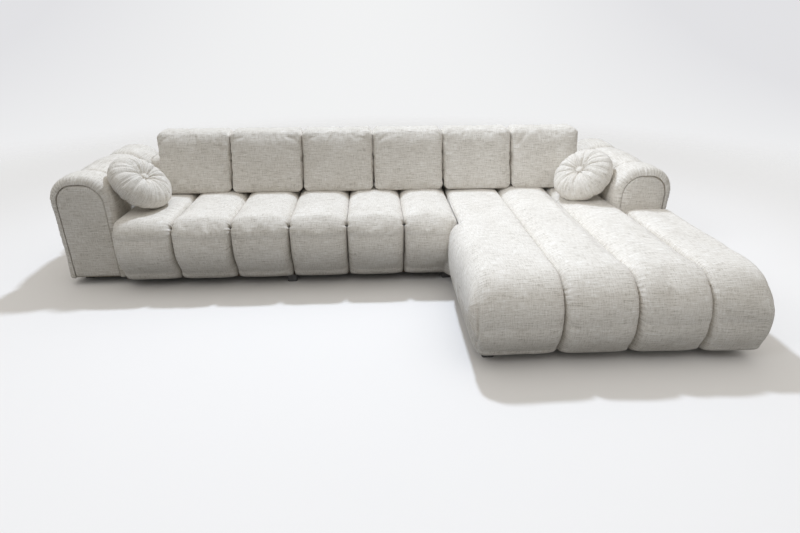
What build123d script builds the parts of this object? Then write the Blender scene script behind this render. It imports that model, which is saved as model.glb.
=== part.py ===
"""Corner sofa: channelled seat, chaise on the right, arched arms, loose back cushions, round pillows.

Millimetres. X runs to the right along the back, Y runs towards the back and Z runs up from the floor.
The origin lies on the floor under the middle of the whole outline.
"""

import os
from math import cos, radians, sin, sqrt, tan

from build123d import *

os.makedirs("parts", exist_ok=True)

# Overall outline and the two sections
overall_width = 3476
overall_depth = 1870
foot_height = 45
seat_width = 1887
joint_gap = 2
clearance = 0.5

# Seat and chaise upholstery: sewn channels that roll over the front edge
seam_height = 372
crown_rise = 42
front_swell = 52
seat_overhang = 80
seat_toe_tuck = 15
seat_seam_roll = 45
chaise_toe_tuck = 38
chaise_seam_roll = 150
roll_swell = 40
first_channel_width = 321
end_channel_width = 294
middle_channel_count = 4
chaise_first_width = 340
chaise_corner_width = 271
chaise_seam_count = 3
front_padding = 55
side_padding = 55
side_bulge = 65
inner_side = (
    (0, -1, -0.4, 175),
    (8, -0.4, 0.1, 130),
    (30, 0.43, 0.6, 70),
    (72, 0.92, 0.95, 0),
    (120, 1, 1, 0),
)
outer_side = (
    (0, -2.4, 0.1, 150),
    (6, -1, 0.58, 80),
    (14, -0.2, 0.75, 40),
    (30, 0.35, 0.94, 0),
    (70, 0.85, 1, 0),
)
crown_stations = (0, 0.1, 0.3, 0.5, 0.7, 0.9, 1)

# Arms
arm_width = 336
arm_height = 635
arm_length = 890
arm_shoulder = 150
arm_wall = 40
arm_draw = 24
arm_front_channel = 205
arm_middle_channel = 440
panel_thickness = 14
panel_softness = 5
board_thickness = 18
stretcher_size = 45
stretcher_rise = 362

# Backrest and loose cushions
backrest_height = 600
backrest_lean = 18
backrest_foot = 575
backrest_padding = 60
backrest_roll = 45
back_panel_thickness = 30
back_panel_roll = 12
left_cushion_count = 4
chaise_cushion_count = 2
left_cushion_pitch = 442
chaise_cushion_pitch = 434
cushion_overhang = 13
cushion_gap = 4
cushion_top = 775
cushion_depth = 176
cushion_roll = 64
cushion_corner = 36
cushion_draw = 5
cushion_stations = (0, 0.04, 0.2, 0.5, 0.8, 0.96, 1)

# Round pillows: pleated faces drawn in to a covered button
pillow_radius = 174
pillow_rim_height = 16
pillow_crown = 80
pillow_crown_radius = 78
pillow_seat_radius = 22
pillow_seat = 46
pillow_pleats = 10
pleat_depth = 7
button_radius = 18
button_rise = 9
button_stations = (0, 0.6, 1)
left_pillow_facing = (0.66, -0.13, 0.74)
left_pillow_setback = 163
left_pillow_settle = 1.9
left_pillow_bearing = -6.9
right_pillow_facing = (-0.60, -0.335, 0.727)
right_pillow_setback = 203
right_pillow_settle = 9
right_pillow_bearing = -18.2

# Timber base, seat suspension and what fastens them
rail_thickness = 25
rail_height = 164
cross_rail_count = 4
chaise_upright_count = 3
dust_cover_thickness = 1
webbing_thickness = 3
webbing_width = 60
webbing_pitch = 130
foam_thickness = 87
connector_recess = 6
top_rail_height = 40
foot_size = 64
foot_corner = 9
foot_taper = 6
bolt_diameter = 10
bolt_head_diameter = 20
bolt_head_height = 7
bolt_length = 118
bolt_setbacks = (285, 575)
plate_thickness = 3
plate_width = 60
plate_height = 80
strap_thickness = 2.5
hook_width = 34
hook_drop = 35
strap_height = 20
connector_setbacks = (85, 475)

# Places that follow from the sizes above
left_end = -overall_width / 2
right_end = overall_width / 2
front_end = -overall_depth / 2
back_end = overall_depth / 2
left_arm_inner = left_end + arm_width
right_arm_inner = right_end - arm_width
joint_x = left_arm_inner + seat_width
arm_front = back_end - arm_length
seat_nose = arm_front - seat_overhang
chaise_nose = front_end + front_swell
seat_rail_front = seat_nose + front_padding
chaise_rail_front = chaise_nose + front_padding
rail_rear = back_end - back_panel_thickness
rail_bottom = foot_height + dust_cover_thickness
rail_top = rail_bottom + rail_height
webbing_top = rail_top + webbing_thickness
deck_top = webbing_top + foam_thickness
crown_height = seam_height + crown_rise
seat_left = left_arm_inner + joint_gap
left_base_right = joint_x - joint_gap / 2 - connector_recess
chaise_base_left = joint_x + joint_gap / 2 + connector_recess
chaise_base_right = right_end - side_padding
chaise_narrow_right = right_arm_inner - joint_gap
chaise_step = arm_front - joint_gap
lean = tan(radians(backrest_lean))
upright_front = backrest_foot + backrest_padding
suspension_rear = upright_front - (deck_top - rail_top) * lean - joint_gap

lower_left = (Align.MIN, Align.MIN, Align.MIN)


def channel_section(x, swell, nose, tuck, seam_roll, back, bottom, reach=None):
    """Side view of a channel at one X; swell is 0 in the seam and 1 on the crown, reach the same in front."""
    top = seam_height + swell * crown_rise
    front = nose - (swell if reach is None else reach) * front_swell
    roll = seam_roll + swell * roll_swell
    with BuildSketch(Plane.YZ.offset(x)) as section:
        with BuildLine():
            over = TangentArc((front, top - roll), (front + roll, top), tangent=(0, 1))
            down = TangentArc((front, top - roll), (front + tuck, bottom), tangent=(0, -1))
            Polyline(down @ 1, (back, bottom), (back, top), over @ 1)
        make_face()
    return section.sketch


def deck_section(x, swell, front, back):
    """Side view of the flat run of a channel on top of the foam."""
    top = seam_height + swell * crown_rise
    with BuildSketch(Plane.YZ.offset(x)) as section:
        with Locations((front, deck_top)):
            Rectangle(back - front, top - deck_top, align=(Align.MIN, Align.MIN))
    return section.sketch


def arch(share):
    """Height of a half-round crown at a share of its width."""
    return sqrt(1 - (2 * share - 1) ** 2)


# Six seat channels of the left section
middle_channel_width = (seat_width - first_channel_width - end_channel_width) / middle_channel_count
seat_seams = [seat_left]
for seam in range(middle_channel_count + 1):
    seat_seams.append(left_arm_inner + first_channel_width + seam * middle_channel_width)
seat_seams.append(joint_x - joint_gap / 2)
seat_back = backrest_foot - joint_gap / 2
for number in range(1, len(seat_seams)):
    left, right = seat_seams[number - 1], seat_seams[number]
    sections = []
    for share in crown_stations:
        sections.append(
            channel_section(
                left + share * (right - left),
                arch(share),
                seat_nose,
                seat_toe_tuck,
                seat_seam_roll,
                seat_back,
                foot_height,
            )
        )
    with BuildPart() as seat_channel:
        loft(sections, ruled=True)
        with Locations((left, seat_rail_front, foot_height)):
            Box(
                right - left,
                seat_back - seat_rail_front,
                deck_top - foot_height,
                align=lower_left,
                mode=Mode.SUBTRACT,
            )
    seat_channel.part.label = f"seat_channel_{number}"
    export_step(seat_channel.part, f"parts/seat_channel_{number}.step")

# First chaise channel: its side rolls down in front of the seat, beside the seat it ends in a seam
chaise_left = joint_x + joint_gap / 2
first_chaise_seam = joint_x + chaise_first_width
corner_seam = right_end - chaise_corner_width
chaise_channel_width = (corner_seam - first_chaise_seam) / (chaise_seam_count - 1)
chaise_seams = [first_chaise_seam + place * chaise_channel_width for place in range(chaise_seam_count)]
seat_clear = seat_nose - front_swell - joint_gap
front_sections = []
for inward, swell, reach, lift in inner_side:
    front_sections.append(
        channel_section(
            joint_x - side_bulge + inward,
            swell,
            chaise_nose,
            chaise_toe_tuck,
            chaise_seam_roll,
            seat_clear,
            foot_height + lift,
            reach,
        )
    )
for share in crown_stations[3:]:
    front_sections.append(
        channel_section(
            chaise_left + share * (chaise_seams[0] - chaise_left),
            arch(share),
            chaise_nose,
            chaise_toe_tuck,
            chaise_seam_roll,
            seat_clear,
            foot_height,
        )
    )
deck_sections = []
for share in crown_stations:
    place = chaise_left + share * (chaise_seams[0] - chaise_left)
    deck_sections.append(deck_section(place, arch(share), seat_clear, seat_back))
with BuildPart() as chaise_channel_1:
    loft(front_sections, ruled=True)
    loft(deck_sections, ruled=True)
    with Locations((chaise_base_left, chaise_rail_front, foot_height)):
        Box(
            chaise_first_width,
            overall_depth,
            deck_top - foot_height,
            align=lower_left,
            mode=Mode.SUBTRACT,
        )
chaise_channel_1.part.label = "chaise_channel_1"
export_step(chaise_channel_1.part, "parts/chaise_channel_1.step")

# Second and third chaise channels; the arm stands over the back of the third
for number in (2, 3):
    left, right = chaise_seams[number - 2], chaise_seams[number - 1]
    sections = []
    for share in crown_stations:
        sections.append(
            channel_section(
                left + share * (right - left),
                arch(share),
                chaise_nose,
                chaise_toe_tuck,
                chaise_seam_roll,
                seat_back,
                foot_height,
            )
        )
    with BuildPart() as chaise_channel:
        loft(sections, ruled=True)
        with Locations((left, chaise_rail_front, foot_height)):
            Box(right - left, overall_depth, deck_top - foot_height, align=lower_left, mode=Mode.SUBTRACT)
        if number == 3:
            with Locations((chaise_narrow_right, chaise_step, foot_height)):
                Box(right - left, arm_length, crown_height, align=lower_left, mode=Mode.SUBTRACT)
    chaise_channel.part.label = f"chaise_channel_{number}"
    export_step(chaise_channel.part, f"parts/chaise_channel_{number}.step")

# Fourth chaise channel: the narrow one in front of the arm, with the rolled outer side
sections = []
for share in crown_stations[:4]:
    sections.append(
        channel_section(
            corner_seam + share * chaise_corner_width,
            arch(share),
            chaise_nose,
            chaise_toe_tuck,
            chaise_seam_roll,
            chaise_step,
            foot_height,
        )
    )
for inward, swell, reach, lift in reversed(outer_side):
    sections.append(
        channel_section(
            right_end - inward,
            swell,
            chaise_nose,
            chaise_toe_tuck,
            chaise_seam_roll,
            chaise_step,
            foot_height + lift,
            reach,
        )
    )
with BuildPart() as chaise_channel_4:
    loft(sections, ruled=True)
    with Locations((chaise_base_right, chaise_rail_front, foot_height)):
        Box(
            overall_width,
            overall_depth,
            deck_top - foot_height,
            align=(Align.MAX, Align.MIN, Align.MIN),
            mode=Mode.SUBTRACT,
        )
chaise_channel_4.part.label = "chaise_channel_4"
export_step(chaise_channel_4.part, "parts/chaise_channel_4.step")


def arm_section(middle, y, draw, bottom=foot_height):
    """Arched outline of an arm at one Y, drawn in all round."""
    with BuildSketch(Plane.XZ.offset(-y)) as section:
        with Locations((middle, bottom)):
            Rectangle(
                arm_width - 2 * draw,
                arm_height - draw - bottom,
                align=(Align.CENTER, Align.MIN),
            )
        fillet(section.vertices().group_by(Axis.Y)[-1], arm_shoulder - draw)
    return section.sketch


# Arms: three sewn channels round an arched box, closed by a soft panel at each end
first_arm_seam = arm_front + arm_front_channel
arm_seams = (arm_front, first_arm_seam, first_arm_seam + arm_middle_channel, back_end)
arm_inside_draw = arm_wall + clearance
board_inset = panel_thickness + clearance
stretcher_spread = arm_width - 2 * arm_wall - stretcher_size - 2 * clearance
stretcher_middle = rail_bottom + (stretcher_rise + stretcher_size) / 2
bolt_height = rail_bottom + stretcher_size / 2
bolt_places = [arm_front + setback for setback in bolt_setbacks]
for side, name in ((-1, "left"), (1, "right")):
    middle = side * (overall_width - arm_width) / 2
    inner_face = side * (overall_width / 2 - arm_width)
    for place, part_name in enumerate(("front", "middle", "rear")):
        start, end = arm_seams[place], arm_seams[place + 1]
        sections = []
        for share in crown_stations:
            draw = arm_draw * (1 - arch(share))
            sections.append(arm_section(middle, start + share * (end - start), draw))
        with BuildPart() as arm_channel:
            loft(sections, ruled=True)
            extrude(arm_section(middle, start, arm_wall), amount=start - end, mode=Mode.SUBTRACT)
            for bolt_y in bolt_places:
                with Locations(Location((inner_face, bolt_y, bolt_height), (0, 90, 0))):
                    Cylinder(bolt_diameter / 2 + clearance, 2 * bolt_length, mode=Mode.SUBTRACT)
        label = f"{name}_arm_channel_{part_name}"
        arm_channel.part.label = label
        export_step(arm_channel.part, f"parts/{label}.step")

    with BuildPart() as end_panels:
        for face_y, inward in ((arm_front, 1), (back_end, -1)):
            panel_face = arm_section(middle, face_y + inward * clearance, arm_inside_draw)
            extrude(panel_face, amount=-inward * panel_thickness)
        outer_faces = end_panels.faces().sort_by(Axis.Y)
        chamfer(outer_faces[0].edges() + outer_faces[-1].edges(), panel_softness)
    end_panels.part.label = f"{name}_arm_end_panels"
    export_step(end_panels.part, f"parts/{name}_arm_end_panels.step")

    with BuildPart() as end_boards:
        for face_y, inward in ((arm_front, 1), (back_end, -1)):
            board_y = face_y + inward * board_inset
            board_face = arm_section(middle, board_y, arm_inside_draw, rail_bottom)
            extrude(board_face, amount=-inward * board_thickness)
    end_boards.part.label = f"{name}_arm_end_boards"
    export_step(end_boards.part, f"parts/{name}_arm_end_boards.step")

    stretcher_start = arm_front + board_inset + board_thickness
    stretcher_length = arm_length - 2 * (board_inset + board_thickness)
    with BuildPart() as stretchers:
        with BuildSketch(Plane.XZ.offset(-stretcher_start)):
            with Locations((middle, stretcher_middle)):
                with GridLocations(stretcher_spread, stretcher_rise, 2, 2):
                    Rectangle(stretcher_size, stretcher_size)
        extrude(amount=-stretcher_length)
        for bolt_y in bolt_places:
            with Locations(Location((inner_face, bolt_y, bolt_height), (0, 90, 0))):
                Cylinder(bolt_diameter / 2 + clearance, 2 * bolt_length, mode=Mode.SUBTRACT)
    stretchers.part.label = f"{name}_arm_stretchers"
    export_step(stretchers.part, f"parts/{name}_arm_stretchers.step")

    head_x = inner_face - side * (joint_gap + rail_thickness)
    with BuildPart() as bolts:
        for bolt_y in bolt_places:
            with BuildSketch(Plane((head_x, bolt_y, bolt_height), z_dir=(side, 0, 0))) as shank:
                Circle(bolt_diameter / 2)
            extrude(amount=bolt_length)
            with BuildSketch(Plane((head_x, bolt_y, bolt_height), z_dir=(side, 0, 0))) as head:
                RegularPolygon(bolt_head_diameter / 2, 6)
            extrude(amount=-bolt_head_height)
    bolts.part.label = f"{name}_arm_bolts"
    export_step(bolts.part, f"parts/{name}_arm_bolts.step")

# Timber base of the left section
left_base_width = left_base_right - seat_left
left_base_depth = rail_rear - seat_rail_front
cross_pitch = (left_base_width - rail_thickness) / (cross_rail_count - 1)
cross_length = left_base_depth - 2 * rail_thickness
with BuildPart() as left_long_rails:
    with BuildSketch(Plane.XY.offset(rail_bottom)):
        for y in (seat_rail_front, rail_rear - rail_thickness):
            with Locations((seat_left, y)):
                Rectangle(left_base_width, rail_thickness, align=(Align.MIN, Align.MIN))
    extrude(amount=rail_height)
left_long_rails.part.label = "left_long_rails"
export_step(left_long_rails.part, "parts/left_long_rails.step")

with BuildPart() as left_cross_rails:
    with BuildSketch(Plane.XY.offset(rail_bottom)):
        for place in range(cross_rail_count):
            with Locations((seat_left + place * cross_pitch, seat_rail_front + rail_thickness)):
                Rectangle(rail_thickness, cross_length, align=(Align.MIN, Align.MIN))
    extrude(amount=rail_height)
    for bolt_y in bolt_places:
        with Locations(Location((seat_left, bolt_y, bolt_height), (0, 90, 0))):
            Cylinder(bolt_diameter / 2 + clearance, 4 * rail_thickness, mode=Mode.SUBTRACT)
left_cross_rails.part.label = "left_cross_rails"
export_step(left_cross_rails.part, "parts/left_cross_rails.step")

# Timber base of the chaise: wide in front of the arm, narrow beside it
chaise_front_width = chaise_base_right - chaise_base_left
chaise_length = rail_rear - chaise_rail_front
step_front = chaise_step - rail_thickness
with BuildPart() as chaise_left_rail:
    with Locations((chaise_base_left, chaise_rail_front, rail_bottom)):
        Box(rail_thickness, chaise_length, rail_height, align=lower_left)
chaise_left_rail.part.label = "chaise_left_rail"
export_step(chaise_left_rail.part, "parts/chaise_left_rail.step")

with BuildPart() as chaise_right_rails:
    with Locations((chaise_base_right - rail_thickness, chaise_rail_front, rail_bottom)):
        Box(rail_thickness, step_front - chaise_rail_front, rail_height, align=lower_left)
    with Locations((chaise_narrow_right - rail_thickness, chaise_step, rail_bottom)):
        Box(rail_thickness, rail_rear - chaise_step, rail_height, align=lower_left)
    for bolt_y in bolt_places:
        with Locations(Location((chaise_narrow_right, bolt_y, bolt_height), (0, 90, 0))):
            Cylinder(bolt_diameter / 2 + clearance, 4 * rail_thickness, mode=Mode.SUBTRACT)
chaise_right_rails.part.label = "chaise_right_rails"
export_step(chaise_right_rails.part, "parts/chaise_right_rails.step")

chaise_inner_left = chaise_base_left + rail_thickness
with BuildPart() as chaise_front_rail:
    with Locations((chaise_inner_left, chaise_rail_front, rail_bottom)):
        Box(chaise_front_width - 2 * rail_thickness, rail_thickness, rail_height, align=lower_left)
chaise_front_rail.part.label = "chaise_front_rail"
export_step(chaise_front_rail.part, "parts/chaise_front_rail.step")

with BuildPart() as chaise_step_rail:
    with Locations((chaise_inner_left, step_front, rail_bottom)):
        Box(chaise_front_width - rail_thickness, rail_thickness, rail_height, align=lower_left)
chaise_step_rail.part.label = "chaise_step_rail"
export_step(chaise_step_rail.part, "parts/chaise_step_rail.step")

chaise_rear_width = chaise_narrow_right - chaise_base_left - 2 * rail_thickness
with BuildPart() as chaise_rear_rail:
    with Locations((chaise_inner_left, rail_rear - rail_thickness, rail_bottom)):
        Box(chaise_rear_width, rail_thickness, rail_height, align=lower_left)
chaise_rear_rail.part.label = "chaise_rear_rail"
export_step(chaise_rear_rail.part, "parts/chaise_rear_rail.step")

# Elastic webbing across the rails, with the foam block lying on it
suspension_length = suspension_rear - seat_rail_front
left_strap_count = int(left_base_width // webbing_pitch)
left_strap_start = (seat_left + left_base_right) / 2
with BuildPart() as left_webbing:
    with BuildSketch(Plane.XY.offset(rail_top)):
        with Locations((left_strap_start, (seat_rail_front + suspension_rear) / 2)):
            with GridLocations(webbing_pitch, 1, left_strap_count, 1):
                Rectangle(webbing_width, suspension_length)
    extrude(amount=webbing_thickness)
left_webbing.part.label = "left_webbing"
export_step(left_webbing.part, "parts/left_webbing.step")

front_strap_count = int((chaise_step - chaise_rail_front) // webbing_pitch)
rear_strap_count = int((suspension_rear - chaise_step) // webbing_pitch)
with BuildPart() as chaise_webbing:
    with BuildSketch(Plane.XY.offset(rail_top)):
        with Locations(
            ((chaise_base_left + chaise_base_right) / 2, (chaise_rail_front + step_front) / 2)
        ):
            with GridLocations(1, webbing_pitch, 1, front_strap_count):
                Rectangle(chaise_front_width, webbing_width)
        with Locations(
            ((chaise_base_left + chaise_narrow_right) / 2, (chaise_step + suspension_rear) / 2)
        ):
            with GridLocations(1, webbing_pitch, 1, rear_strap_count):
                Rectangle(chaise_narrow_right - chaise_base_left, webbing_width)
    extrude(amount=webbing_thickness)
chaise_webbing.part.label = "chaise_webbing"
export_step(chaise_webbing.part, "parts/chaise_webbing.step")

with BuildPart() as left_foam:
    with Locations((seat_left, seat_rail_front, webbing_top)):
        Box(left_base_width, suspension_length, foam_thickness, align=lower_left)
left_foam.part.label = "left_foam"
export_step(left_foam.part, "parts/left_foam.step")

with BuildPart() as chaise_foam:
    with BuildSketch(Plane.XY.offset(webbing_top)):
        with BuildLine():
            Polyline(
                (chaise_base_left, chaise_rail_front),
                (chaise_base_right, chaise_rail_front),
                (chaise_base_right, chaise_step),
                (chaise_narrow_right, chaise_step),
                (chaise_narrow_right, suspension_rear),
                (chaise_base_left, suspension_rear),
                close=True,
            )
        make_face()
    extrude(amount=foam_thickness)
chaise_foam.part.label = "chaise_foam"
export_step(chaise_foam.part, "parts/chaise_foam.step")

# Cloth under each base and arm
arm_cover_width = arm_width - 2 * arm_inside_draw
arm_cover_length = arm_length - 2 * board_inset
arm_cover_x = (overall_width - arm_width) / 2
arm_cover_y = arm_front + arm_length / 2
with BuildPart() as left_dust_cover:
    with BuildSketch(Plane.XY.offset(foot_height)):
        with Locations((seat_left, seat_rail_front)):
            Rectangle(left_base_width, left_base_depth, align=(Align.MIN, Align.MIN))
        with Locations((-arm_cover_x, arm_cover_y)):
            Rectangle(arm_cover_width, arm_cover_length)
    extrude(amount=dust_cover_thickness)
left_dust_cover.part.label = "left_dust_cover"
export_step(left_dust_cover.part, "parts/left_dust_cover.step")

with BuildPart() as chaise_dust_cover:
    with BuildSketch(Plane.XY.offset(foot_height)):
        with BuildLine():
            Polyline(
                (chaise_base_left, chaise_rail_front),
                (chaise_base_right, chaise_rail_front),
                (chaise_base_right, chaise_step),
                (chaise_narrow_right, chaise_step),
                (chaise_narrow_right, rail_rear),
                (chaise_base_left, rail_rear),
                close=True,
            )
        make_face()
        with Locations((arm_cover_x, arm_cover_y)):
            Rectangle(arm_cover_width, arm_cover_length)
    extrude(amount=dust_cover_thickness)
chaise_dust_cover.part.label = "chaise_dust_cover"
export_step(chaise_dust_cover.part, "parts/chaise_dust_cover.step")

# Backrests: uprights and a top rail, a soft pad that rolls over the top, and a padded outer back
upright_top = backrest_height - backrest_padding - joint_gap
rail_seat = upright_top - top_rail_height
upright_foot = upright_front - (deck_top - rail_top) * lean
backrests = (
    ("left", seat_left, joint_x - joint_gap / 2, left_base_right, cross_rail_count),
    ("chaise", chaise_left, chaise_narrow_right, chaise_narrow_right, chaise_upright_count),
)
for name, pad_left, pad_right, frame_right, upright_count in backrests:
    frame_left = seat_left if name == "left" else chaise_base_left
    upright_pitch = (frame_right - frame_left - rail_thickness) / (upright_count - 1)
    with BuildPart() as uprights:
        for place in range(upright_count):
            with BuildSketch(Plane.YZ.offset(frame_left + place * upright_pitch)):
                with BuildLine():
                    Polyline(
                        (upright_foot, rail_top),
                        (upright_front + (rail_seat - deck_top) * lean, rail_seat),
                        (rail_rear, rail_seat),
                        (rail_rear, rail_top),
                        close=True,
                    )
                make_face()
            extrude(amount=rail_thickness)
    uprights.part.label = f"{name}_back_uprights"
    export_step(uprights.part, f"parts/{name}_back_uprights.step")

    with BuildPart() as top_rail:
        with BuildSketch(Plane.YZ.offset(frame_left)):
            with BuildLine():
                Polyline(
                    (upright_front + (rail_seat - deck_top) * lean, rail_seat),
                    (upright_front + (upright_top - deck_top) * lean, upright_top),
                    (rail_rear, upright_top),
                    (rail_rear, rail_seat),
                    close=True,
                )
            make_face()
        extrude(amount=frame_right - frame_left)
    top_rail.part.label = f"{name}_back_top_rail"
    export_step(top_rail.part, f"parts/{name}_back_top_rail.step")

    with BuildPart() as back_pad:
        with BuildSketch(Plane.YZ.offset(pad_left)) as pad_profile:
            with BuildLine():
                Polyline(
                    (backrest_foot, deck_top),
                    (backrest_foot + (backrest_height - deck_top) * lean, backrest_height),
                    (rail_rear, backrest_height),
                    (rail_rear, upright_top),
                    (upright_front + (upright_top - deck_top) * lean, upright_top),
                    (upright_front, deck_top),
                    close=True,
                )
            make_face()
            fillet(pad_profile.vertices().group_by(Axis.Y)[-1].sort_by(Axis.X)[0], backrest_roll)
        extrude(amount=pad_right - pad_left)
    back_pad.part.label = f"{name}_back_pad"
    export_step(back_pad.part, f"parts/{name}_back_pad.step")

    with BuildPart() as outer_back:
        with Locations((pad_left, rail_rear, foot_height)):
            Box(pad_right - pad_left, back_panel_thickness, backrest_height - foot_height, align=lower_left)
        fillet(outer_back.faces().sort_by(Axis.Y)[-1].edges(), back_panel_roll)
    outer_back.part.label = f"{name}_outer_back"
    export_step(outer_back.part, f"parts/{name}_outer_back.step")

# Six loose back cushions, leaning with level tops and bottoms
cushion_bottom = crown_height + clearance
cushion_rear = backrest_foot + (cushion_bottom - deck_top) * lean - clearance
cushion_split = joint_x - cushion_overhang
cushion_length = (cushion_top - cushion_bottom) / cos(radians(backrest_lean))
facing = (0, -cos(radians(backrest_lean)), sin(radians(backrest_lean)))


def cushion_section(x, y, width, inset):
    """Outline of a back cushion in its leaning plane, sides drawn in between the corners."""
    half = width / 2 - inset
    low = inset
    high = cushion_length - inset
    with BuildSketch(Plane((x, y, cushion_bottom), x_dir=(1, 0, 0), z_dir=facing)) as section:
        with BuildLine():
            Line((-half, low), (half, low))
            SagittaArc((half, low), (half, high), cushion_draw)
            SagittaArc((half, high), (-half, high), cushion_draw)
            SagittaArc((-half, high), (-half, low), cushion_draw)
        make_face()
        fillet(section.vertices(), cushion_corner)
    return section.sketch


for number in range(1, left_cushion_count + chaise_cushion_count + 1):
    pitch = left_cushion_pitch if number <= left_cushion_count else chaise_cushion_pitch
    x = cushion_split + (number - left_cushion_count - 0.5) * pitch
    sections = []
    for share in cushion_stations:
        inset = cushion_roll * (1 - sqrt(1 - (2 * share - 1) ** 4))
        y = cushion_rear - share * cushion_depth
        sections.append(cushion_section(x, y, pitch - cushion_gap, inset))
    with BuildPart() as back_cushion:
        loft(sections, ruled=True)
    back_cushion.part.label = f"back_cushion_{number}"
    export_step(back_cushion.part, f"parts/back_cushion_{number}.step")


def pleated_section(plane, radius, height, depth):
    """Round outline with one shallow lobe between each pair of pleats."""
    valley = radius - depth
    step = 360 / pillow_pleats
    with BuildSketch(plane.offset(height)) as section:
        with BuildLine():
            for lobe in range(pillow_pleats):
                start = lobe * step
                ThreePointArc(
                    Vector(valley, 0).rotate(Axis.Z, start),
                    Vector(radius, 0).rotate(Axis.Z, start + step / 2),
                    Vector(valley, 0).rotate(Axis.Z, start + step),
                )
        make_face()
    return section.sketch


# Rings of the upper half of a pillow, from the crown out to the rim
pillow_shoulders = (0, 0.45, 0.8, 1)
upper_half = []
for share in pillow_shoulders:
    ring_radius = pillow_crown_radius + (pillow_radius - pillow_crown_radius) * share
    ring_height = pillow_crown - (pillow_crown - pillow_rim_height) * (1 - sqrt(1 - share**2))
    upper_half.append((ring_radius, ring_height))
body_outline = upper_half + [(radius, -height) for radius, height in reversed(upper_half)]


def pillow_place(side, direction, setback, settle, bearing):
    """Middle of a pillow that stands on the seat crown and leans on the shoulder of an arm."""
    across, _, upward = direction
    reach = max(radius * sqrt(1 - upward**2) + height * upward for radius, height in upper_half)
    z = crown_height + clearance + reach - settle
    shoulder_x = side * (overall_width / 2 - arm_width + arm_shoulder)
    shoulder_z = arm_height - arm_shoulder
    x = shoulder_x + (arm_shoulder + pillow_crown + bearing - (z - shoulder_z) * upward) / across
    return (x, arm_front + setback, z)


# Round pillows: a crowned body, a dish on each face and a covered button in each dish
for side, name, direction, setback, settle, bearing in (
    (-1, "left", left_pillow_facing, left_pillow_setback, left_pillow_settle, left_pillow_bearing),
    (1, "right", right_pillow_facing, right_pillow_setback, right_pillow_settle, right_pillow_bearing),
):
    place = pillow_place(side, direction, setback, settle, bearing)
    pillow_plane = Plane(place, z_dir=direction)
    with BuildPart() as pillow:
        loft([pleated_section(pillow_plane, *ring, pleat_depth) for ring in body_outline], ruled=True)
        for face_plane in (pillow_plane, -pillow_plane):
            dish = [
                pleated_section(face_plane, pillow_seat_radius, pillow_seat, clearance),
                pleated_section(face_plane, pillow_crown_radius, pillow_crown, pleat_depth),
            ]
            loft(dish, ruled=True, mode=Mode.SUBTRACT)
    pillow.part.label = f"round_pillow_{name}"
    export_step(pillow.part, f"parts/round_pillow_{name}.step")

    with BuildPart() as buttons:
        for face_plane in (pillow_plane, -pillow_plane):
            dome = []
            for share in button_stations:
                with BuildSketch(face_plane.offset(pillow_seat + button_rise * share)) as ring:
                    Circle(button_radius * (1 - share**2 / 2))
                dome.append(ring.sketch)
            loft(dome, ruled=True)
    buttons.part.label = f"{name}_pillow_buttons"
    export_step(buttons.part, f"parts/{name}_pillow_buttons.step")

# Low moulded feet under the outer corners and the middle of each base
foot_inset = foot_size / 2
arm_foot_x = (overall_width - arm_width) / 2 + stretcher_spread / 2
front_foot_y = seat_rail_front + foot_inset
rear_foot_y = rail_rear - foot_inset
left_middle_x = (seat_left + left_base_right) / 2
left_feet_places = (
    (-arm_foot_x, arm_front + 2 * foot_size),
    (-arm_foot_x, rear_foot_y),
    (left_middle_x, front_foot_y),
    (left_middle_x, rear_foot_y),
    (left_base_right - foot_inset, front_foot_y),
    (left_base_right - foot_inset, rear_foot_y),
)
chaise_feet_places = (
    (chaise_base_left + foot_inset, chaise_rail_front + foot_inset),
    (chaise_base_right - foot_inset, chaise_rail_front + foot_inset),
    (chaise_base_left + foot_inset, rear_foot_y),
    (arm_foot_x, rear_foot_y),
    (chaise_base_right - foot_inset, step_front - foot_inset),
)
for name, places in (("left_feet", left_feet_places), ("chaise_feet", chaise_feet_places)):
    with BuildPart() as feet:
        with BuildSketch(Plane.XY.offset(foot_height)) as foot_outline:
            with Locations(*places):
                Rectangle(foot_size, foot_size)
            chamfer(foot_outline.vertices(), foot_corner)
        extrude(amount=-foot_height, taper=foot_taper)
    feet.part.label = name
    export_step(feet.part, f"parts/{name}.step")

# Connectors: a strap plate on the left base and a hook plate on the chaise that drops behind the strap
plate_bottom = rail_bottom + (rail_height - plate_height) / 2
strap_bottom = plate_bottom + plate_height / 2 - strap_height / 2
strap_top = strap_bottom + strap_height
connector_places = [arm_front + setback for setback in connector_setbacks]
slot_width = chaise_base_left - left_base_right - 2 * plate_thickness - strap_thickness - clearance
with BuildPart() as connector_straps:
    for y in connector_places:
        with Locations((left_base_right, y - plate_width / 2, plate_bottom)):
            Box(plate_thickness, plate_width, plate_height, align=lower_left)
        with BuildSketch(Plane.XY.offset(strap_bottom)):
            with Locations((left_base_right + plate_thickness, y)):
                Rectangle(slot_width + strap_thickness, plate_width, align=(Align.MIN, Align.CENTER))
                Rectangle(
                    slot_width,
                    hook_width + 2 * joint_gap,
                    align=(Align.MIN, Align.CENTER),
                    mode=Mode.SUBTRACT,
                )
        extrude(amount=strap_height)
connector_straps.part.label = "connector_straps"
export_step(connector_straps.part, "parts/connector_straps.step")

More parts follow.
